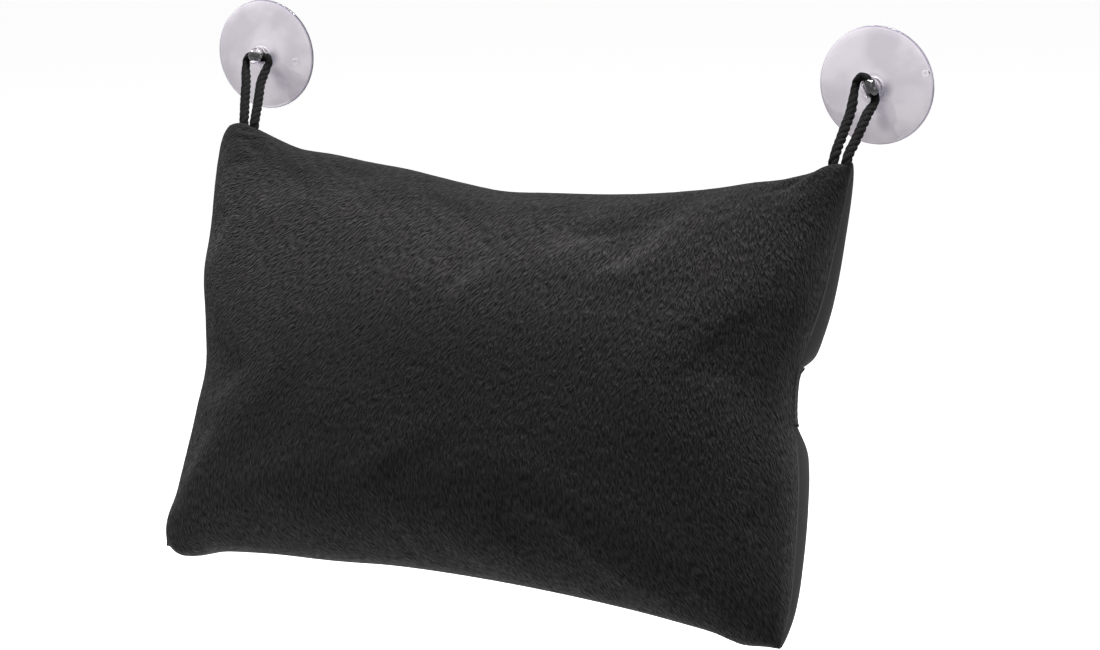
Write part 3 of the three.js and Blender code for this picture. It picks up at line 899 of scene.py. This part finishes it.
class PILLOW_OT_cushion(bpy.types.Operator):
    """Makes the cushion: the plush front, the stretch back and the filling between them"""

    bl_idname = "pillow.cushion"
    bl_label = "Cushion"

    def execute(self, context):
        c = context.scene.pillow_cushion
        skin = linked("skin", sewn_skin(c))
        s, t = floats_of(skin.data, "across"), floats_of(skin.data, "up")
        plumped(skin, c.pucker)
        mesh = skin.data
        put_floats(mesh, "depth", np.abs(points_of(mesh)[:, 1]))
        edge = np.minimum((1 - np.abs(s)), (1 - np.abs(t)))
        put_floats(mesh, "seam", np.arccos(np.clip(1 - edge, -1, 1)) / (np.pi / 2) * c.width / 2)
        placed = cushion_frame(c)
        mesh.transform(placed)
        plush, jersey = plush_material(c), back_material(c)
        front = cloth_piece(skin, 0, "plush_front", c.plush_thickness)
        finish_piece(front, "pillow", plush, "front_panel")
        rear = cloth_piece(skin, 1, "stretch_back", c.back_thickness)
        finish_piece(rear, "pillow", jersey, "back_panel")
        filling = filling_piece(c, skin)
        finish_piece(filling, "pillow", bead_material(), "bead_filling")
        bpy.data.objects.remove(skin)
        lips = linked("sewn_lips", sewn_lips(c))
        places = points_of(lips.data)
        lay_uv(lips.data, "pile", places[:, 0] + places[:, 1], places[:, 2])
        put_floats(lips.data, "seam", np.ones(len(places)))
        lips.data.transform(placed)
        # The lips wear the plain cloth that model.glb brings, which is paler than the back's jersey.
        finish_piece(lips, "pillow", bpy.data.materials["back_cloth"], "closing_seam")
        return {"FINISHED"}


# Cords.
STRAND_SHARE = 0.64
CORD_STEP = 0.0006

# How unevenly the strands are twisted: over what length, by what turn and by what share of their size.
WOBBLE_LENGTH = 0.0021
WOBBLE_TURN = 0.35
WOBBLE_THINNING = 0.14

# How far below its feet a loop's own ends reach, and its sewn tails start, in the cushion's plane.
HIDDEN_END = 0.0062
TAIL_START = 0.0068

# How far from the middle of a knob's hole the strands are drawn in most, and over what length.
MOUTH_REACH = 0.0066
MOUTH_LENGTH = 0.0022


def spline_points(route, step):
    """Evenly spaced points on the smooth curve through a route, eased by the root of each span's length."""
    points = [np.array(p) for p in route]
    points = [2 * points[0] - points[1]] + points + [2 * points[-1] - points[-2]]
    line = []
    for p0, p1, p2, p3 in zip(points, points[1:], points[2:], points[3:]):
        d1, d2, d3 = (np.linalg.norm(b - a) ** 0.5 for a, b in ((p0, p1), (p1, p2), (p2, p3)))
        m1 = (p1 - p0) / d1 - (p2 - p0) / (d1 + d2) + (p2 - p1) / d2
        m2 = (p2 - p1) / d2 - (p3 - p1) / (d2 + d3) + (p3 - p2) / d3
        for share in np.linspace(0, 1, 24, endpoint=False):
            a, b = share ** 2, share ** 3
            line.append((2 * b - 3 * a + 1) * p1 + (b - 2 * a + share) * m1 * d2
                        + (3 * a - 2 * b) * p2 + (b - a) * m2 * d2)
    line.append(points[-2])
    line = np.array(line)
    along = np.concatenate([[0], np.cumsum(np.linalg.norm(np.diff(line, axis=0), axis=1))])
    count = max(2, round(along[-1] / step))
    even = np.linspace(0, along[-1], count + 1)
    return np.stack([np.interp(even, along, line[:, k]) for k in range(3)], -1), along[-1]


def turning_frames(line):
    """Two directions square to the line at each point, carried along it with no twist."""
    tangents = np.gradient(line, axis=0)
    tangents /= np.linalg.norm(tangents, axis=1, keepdims=True)
    side = np.cross(tangents[0], (0.0, 0.0, 1.0))
    sides = []
    for tangent in tangents:
        side = side - tangent * (side @ tangent)
        side = side / np.linalg.norm(side)
        sides.append(side)
    sides = np.array(sides)
    return sides, np.cross(tangents, sides)


def twisted(name, line, c, turn=0.0, spread=None):
    """Three strands twisted round a line, each a closed tube, as one mesh that keeps its yarn's lay."""
    strand = STRAND_SHARE * c.diameter / 2
    reach = np.full(len(line), c.diameter / 2 - strand) * (1 if spread is None else spread)
    first, second = turning_frames(line)
    along = np.concatenate([[0], np.cumsum(np.linalg.norm(np.diff(line, axis=0), axis=1))])
    curve = bpy.data.curves.new(name, "CURVE")
    curve.dimensions = "3D"
    curve.bevel_depth = strand
    curve.bevel_resolution = 4
    curve.use_fill_caps = True
    curve.twist_mode = "MINIMUM"
    middles = []
    for index in range(3):
        phase = 2 * math.pi * (along / c.lay_length + index / 3) + turn
        wobble = np.array([noise.noise((step / WOBBLE_LENGTH, 5.3 * index, turn)) for step in along])
        phase = phase + WOBBLE_TURN * wobble
        places = line + reach[:, None] * (first * np.cos(phase)[:, None] + second * np.sin(phase)[:, None])
        middles.append(places)
        spline = curve.splines.new("POLY")
        spline.points.add(len(places) - 1)
        spline.points.foreach_set("co", np.hstack([places, np.ones((len(places), 1))]).ravel())
        spline.points.foreach_set("radius", 1 - WOBBLE_THINNING * np.abs(wobble))
    holder = linked(name, curve)
    mesh = bpy.data.meshes.new_from_object(holder.evaluated_get(bpy.context.evaluated_depsgraph_get()))
    bpy.data.objects.remove(holder)
    bm = bmesh.new()
    bm.from_mesh(mesh)
    bmesh.ops.remove_doubles(bm, verts=bm.verts, dist=MM / 1000)
    bmesh.ops.recalc_face_normals(bm, faces=bm.faces)
    made = mesh_from(bm, name)
    points = points_of(made)
    gaps = [np.linalg.norm(points[:, None, :] - places[None, :, :], axis=2) for places in middles]
    nearest = np.argmin([gap.min(1) for gap in gaps], axis=0)
    step = np.choose(nearest, [gap.argmin(1) for gap in gaps])
    away = points - np.choose(nearest[:, None], [places[step] for places in middles])
    put_floats(made, "yarn_x", (away * first[step]).sum(1) / strand)
    put_floats(made, "yarn_y", (away * second[step]).sum(1) / strand)
    put_floats(made, "yarn_z", along[step])
    return made


def sewn_tail(c, cushion, side, name):
    """The two ends of a loop inside the corner, and the bar of stitches that holds them."""
    placed = cushion_frame(cushion)
    down = placed.to_3x3() @ Vector((-side * c.tail_lean, 0, -c.tail_depth))
    bm = bmesh.new()
    ends = []
    for leg in (0, -1):
        start = Vector(ROUTES[side][leg]) + placed.to_3x3() @ Vector((0, 0, -TAIL_START))
        stop = Vector(ROUTES[side][leg]) + placed.to_3x3() @ Vector((0, 0, -c.diameter / 2)) + down
        line = np.linspace(start, stop, 16)
        made = twisted(name, line, c, turn=side)
        bm.from_mesh(made)
        bpy.data.meshes.remove(made)
        ends.append(stop)
    middle = (ends[0] + ends[1]) / 2
    lay = Matrix.Translation(middle) @ placed.to_quaternion().to_matrix().to_4x4() @ Matrix.Diagonal(
        (c.tack_length, 0.9 * c.diameter, c.tack_height, 1))
    bar = bmesh.ops.create_cube(bm, size=1, matrix=lay)["verts"]
    edges = once_each(vert.link_edges for vert in bar)
    bmesh.ops.bevel(bm, geom=edges, offset=0.0009, segments=3, profile=0.5, affect="EDGES", material=-1)
    return mesh_from(bm, name)


class PILLOW_OT_cords(bpy.types.Operator):
    """Makes the two twisted cord loops"""

    bl_idname = "pillow.cords"
    bl_label = "Cords"

    def execute(self, context):
        c = context.scene.pillow_cord
        cushion = context.scene.pillow_cushion
        cup = context.scene.pillow_cup
        inward = cushion_frame(cushion).to_3x3() @ Vector((0, 0, -1))
        material = cord_material(c)
        for side, name in SIDES.items():
            route = [np.array(p) for p in ROUTES[side]]
            ends = [np.array(route[k]) + np.array(inward) * HIDDEN_END for k in (0, -1)]
            line, long = spline_points([ends[0], *route, ends[1]], CORD_STEP)
            knob = np.array([side * cup.spacing / 2, -cup.hole_height, 0])
            mouth = (np.linalg.norm(line - knob, axis=1) - MOUTH_REACH) / MOUTH_LENGTH
            spread = 1 - 0.5 * np.exp(-mouth ** 2)
            loop = linked(name + "_twisted_loop", twisted(name + "_twisted_loop", line, c, side, spread))
            finish_piece(loop, None, material, name + "_cord_loop")
            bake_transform(loop)
            tail = linked(name + "_sewn_tail", sewn_tail(c, cushion, side, name + "_sewn_tail"))
            finish_piece(tail, "pillow", material, name + "_cord_tail")
        return {"FINISHED"}


# Cups. The turn of each knob's hole and of the painted dark reflection beside it in degrees, and the place of
# the moulding mark, across and up in millimetres.
HOLE_TURNS = {-1: 0, 1: 64}
DARK_REFLECTION_TURNS = {-1: -54, 1: -76}
MARK_PLACES = {-1: (16.5, -2.5), 1: (21.5, 5.8)}


def cup_profile(c):
    """The cup's outline from the knob's dome round the lip to the hollow, as reaches and heights.

    Each curve bends towards two places and ends in a third, all in millimetres, in a number of steps.
    """
    lip, inner_lip = c.diameter / 2 / MM, 22.0
    knob, top, shelf = 4.1, 12.0, 4.5
    hub, hub_edge, hollow = 10.0, 3.7, 2.4
    curves = [
        ((0.6 * knob, top), (knob, top - 1.2), (knob, top - 3), 10),
        ((knob, 7.0), (knob, 6.2), (knob, 5.3), 4),
        ((knob, 4.85), (4.4, shelf), (4.9, shelf), 4),
        ((5.1, shelf), (5.3, shelf), (5.5, shelf), 1),
        ((6.0, shelf), (6.8, 3.9), (hub, hub_edge), 6),
        ((15.0, 3.4), (20.5, 2.3), (lip, 1.1), 12),
        ((lip + 0.25, 0.8), (lip + 0.25, 0.3), (lip, 0), 4),
        ((24.0, 0), (23.0, 0), (inner_lip, 0), 2),
        ((18.0, 0.75), (hub, hollow), (0, hollow), 14),
    ]
    found = [(0, top)]
    for p1, p2, p3, count in curves:
        p0 = found[-1]
        for share in np.linspace(0, 1, count + 1)[1:]:
            a = 1 - share
            found.append(tuple(a ** 3 * p0[k] + 3 * a * a * share * p1[k] + 3 * a * share ** 2 * p2[k]
                               + share ** 3 * p3[k] for k in (0, 1)))
    return [(reach * MM, height * MM) for reach, height in found]


class PILLOW_OT_cups(bpy.types.Operator):
    """Makes the two clear suction cups"""

    bl_idname = "pillow.cups"
    bl_label = "Suction cups"

    def execute(self, context):
        c = context.scene.pillow_cup
        cord = context.scene.pillow_cord
        material = vinyl_material(c)
        for side, name in SIDES.items():
            bm = bmesh.new()
            verts = [bm.verts.new((reach, -height, 0)) for reach, height in cup_profile(c)]
            edges = [bm.edges.new(pair) for pair in zip(verts, verts[1:])]
            bmesh.ops.spin(bm, geom=verts + edges, cent=(0, 0, 0), axis=(0, 1, 0), angle=2 * math.pi,
                           steps=96, use_merge=True)
            bmesh.ops.remove_doubles(bm, verts=bm.verts, dist=MM / 200)
            bmesh.ops.recalc_face_normals(bm, faces=bm.faces)
            cup = linked(name + "_clear_cup", mesh_from(bm, name + "_clear_cup"))
            turn = math.radians(HOLE_TURNS[side])
            bore = bmesh.new()
            way = Vector((math.cos(turn), 0, -math.sin(turn))).to_track_quat("Z", "Y")
            lay = Matrix.Translation((0, -c.hole_height, 0)) @ way.to_matrix().to_4x4()
            bmesh.ops.create_cone(bore, cap_ends=True, segments=40, radius1=cord.hole / 2,
                                  radius2=cord.hole / 2, depth=16 * MM, matrix=lay)
            cutter = linked("bore", mesh_from(bore, "bore"))
            hole = cup.modifiers.new("Cord hole", "BOOLEAN")
            hole.object = cutter
            hole.solver = "EXACT"
            context.view_layer.update()
            apply_modifiers(cup)
            bpy.data.objects.remove(cutter)
            cup.data.shade_smooth()
            cup.data.set_sharp_from_angle(angle=math.radians(50))
            places = points_of(cup.data)
            lay_uv(cup.data, "face", places[:, 0], places[:, 2])
            across, up = MARK_PLACES[side]
            dark_reflection_turn = math.radians(DARK_REFLECTION_TURNS[side])
            for label, value in (("dark_reflection_turn", dark_reflection_turn), ("mark_x", across * MM), ("mark_z", up * MM)):
                put_floats(cup.data, label, np.full(len(places), value))
            cup.data.transform(Matrix.Translation((side * c.spacing / 2, 0, 0)))
            finish_piece(cup, name + "_cup", material, name + "_suction_cup")
        return {"FINISHED"}


# Stage.
FRAME_WIDE = 1100
FOCAL_PIXELS = 2942.5
CAMERA_AZIMUTH = math.radians(26.37)
CAMERA_ELEVATION = math.radians(13.95)
CAMERA_ROLL = math.radians(-1.51)
CAMERA_PLACE = (0.56468, -1.15255, 0.20274)


def place_camera():
    """The camera at the photographer's place."""
    data = bpy.data.cameras.new("camera")
    data.sensor_width = 36
    data.lens = FOCAL_PIXELS * data.sensor_width / FRAME_WIDE
    data.clip_start, data.clip_end = 0.05, 50
    camera = linked("camera", data)
    a, e, r = CAMERA_AZIMUTH, CAMERA_ELEVATION, CAMERA_ROLL
    ahead = Vector((-math.sin(a) * math.cos(e), math.cos(a) * math.cos(e), -math.sin(e)))
    level = Vector((math.cos(a), math.sin(a), 0))
    upright = level.cross(ahead)
    right = math.cos(r) * level + math.sin(r) * upright
    up = -math.sin(r) * level + math.cos(r) * upright
    camera.matrix_world = Matrix((
        (right.x, up.x, -ahead.x, CAMERA_PLACE[0]),
        (right.y, up.y, -ahead.y, CAMERA_PLACE[1]),
        (right.z, up.z, -ahead.z, CAMERA_PLACE[2]),
        (0, 0, 0, 1)))
    bpy.context.scene.camera = camera


# The lamps: name, place, the point that they face, size and power.
MIDDLE = (0, -0.07, -0.1)
LAMPS = [
    ("top_softbox", (0.04, 0.04, 1.0), MIDDLE, (0.8, 0.3), 37),
    ("side_softbox", (-0.36, -0.28, -0.49), (-0.06, -0.08, -0.2), (0.3, 0.3), 0.6),
    ("right_softbox", (1.2, -0.75, 0.1), MIDDLE, (0.6, 0.5), 3.9),
]


def place_lamp(name, place, target, size, power):
    """A soft square lamp that faces a point."""
    data = bpy.data.lights.new(name, "AREA")
    data.shape = "RECTANGLE"
    data.size, data.size_y = size
    data.energy = power
    lamp = linked(name, data)
    lamp.location = place
    lamp.rotation_mode = "QUATERNION"
    lamp.rotation_quaternion = (Vector(target) - Vector(place)).to_track_quat("-Z", "Y")


def seen_share(nodes):
    """1 for rays that show the background itself: from the camera, in gloss or through glass."""
    path = nodes.add("ShaderNodeLightPath").outputs
    seen = nodes.math("MAXIMUM", path["Is Camera Ray"], path["Is Glossy Ray"])
    return nodes.math("MAXIMUM", seen, path["Is Transmission Ray"])


class PILLOW_OT_stage(bpy.types.Operator):
    """Places the camera, the pale floor and the soft light"""

    bl_idname = "pillow.stage"
    bl_label = "Stage"

    def execute(self, context):
        c = context.scene.pillow_stage
        place_camera()
        middle = (CAD_BOX[0] + CAD_BOX[1]) / 2
        bm = bmesh.new()
        bmesh.ops.create_circle(bm, cap_ends=True, segments=96, radius=14)
        floor = linked("floor", mesh_from(bm, "floor"))
        floor.data.transform(Matrix.Translation((middle.x, middle.y, CAD_BOX[0].z - c.floor_drop)))
        material, nodes, shader = material_of("pale_floor")
        set_shader(shader, Roughness=0.9, Specular_IOR_Level=0.1)
        seen = seen_share(nodes)
        white = (1, 1, 1)
        pale = nodes.blend(seen, shade_of(white, c.floor_bounce), shade_of(white, c.floor_seen))
        nodes.give(shader.inputs["Base Color"], pale)
        glow = nodes.add("ShaderNodeEmission", (*white, 1), nodes.math("MULTIPLY", seen, c.floor_glow))
        both = nodes.add("ShaderNodeAddShader", shader.outputs[0], glow.outputs[0])
        nodes.give(nodes.tree.nodes["Material Output"].inputs["Surface"], both.outputs[0])
        floor.data.materials.append(material)
        world = bpy.data.worlds.new("studio")
        world.use_nodes = True
        context.scene.world = world
        sky = Nodes(world.node_tree)
        strength = sky.add("ShaderNodeMapRange", seen_share(sky), 0.0, 1.0, c.ambient, 1.0).outputs[0]
        back = world.node_tree.nodes["Background"]
        back.inputs["Color"].default_value = (*white, 1)
        sky.give(back.inputs["Strength"], strength)
        for lamp in LAMPS:
            place_lamp(*lamp)
        context.scene.view_settings.view_transform = "Standard"
        return {"FINISHED"}


class PILLOW_PT_tools(bpy.types.Panel):
    """Lists the pillow's tools and sizes"""

    bl_label = "Bath Pillow"
    bl_space_type = "VIEW_3D"
    bl_region_type = "UI"
    bl_category = "Bath Pillow"

    def draw(self, context):
        for tool, settings in TOOLS:
            box = self.layout.box()
            box.operator(tool.bl_idname)
            group = getattr(context.scene, settings)
            for key in group.bl_rna.properties.keys():
                if key not in ("rna_type", "name"):
                    box.prop(group, key)


SETTINGS = {
    "pillow_stage": StageSettings,
    "pillow_cord": CordSettings,
    "pillow_cushion": CushionSettings,
    "pillow_cup": CupSettings,
}
TOOLS = [
    (PILLOW_OT_stage, "pillow_stage"),
    (PILLOW_OT_cords, "pillow_cord"),
    (PILLOW_OT_cushion, "pillow_cushion"),
    (PILLOW_OT_cups, "pillow_cup"),
]
CLASSES = [*SETTINGS.values(), *(tool for tool, _ in TOOLS), PILLOW_PT_tools]


def register():
    """Adds the tools and their settings."""
    for item in CLASSES:
        bpy.utils.register_class(item)
    for key, kind in SETTINGS.items():
        setattr(bpy.types.Scene, key, bpy.props.PointerProperty(type=kind))


def unregister():
    """Takes them away again."""
    for key in SETTINGS:
        delattr(bpy.types.Scene, key)
    for item in reversed(CLASSES):
        bpy.utils.unregister_class(item)


def main():
    """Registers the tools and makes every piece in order."""
    register()
    bpy.ops.pillow.stage()
    bpy.ops.pillow.cords()
    bpy.ops.pillow.cushion()
    bpy.ops.pillow.cups()


if __name__ == "__main__":
    main()
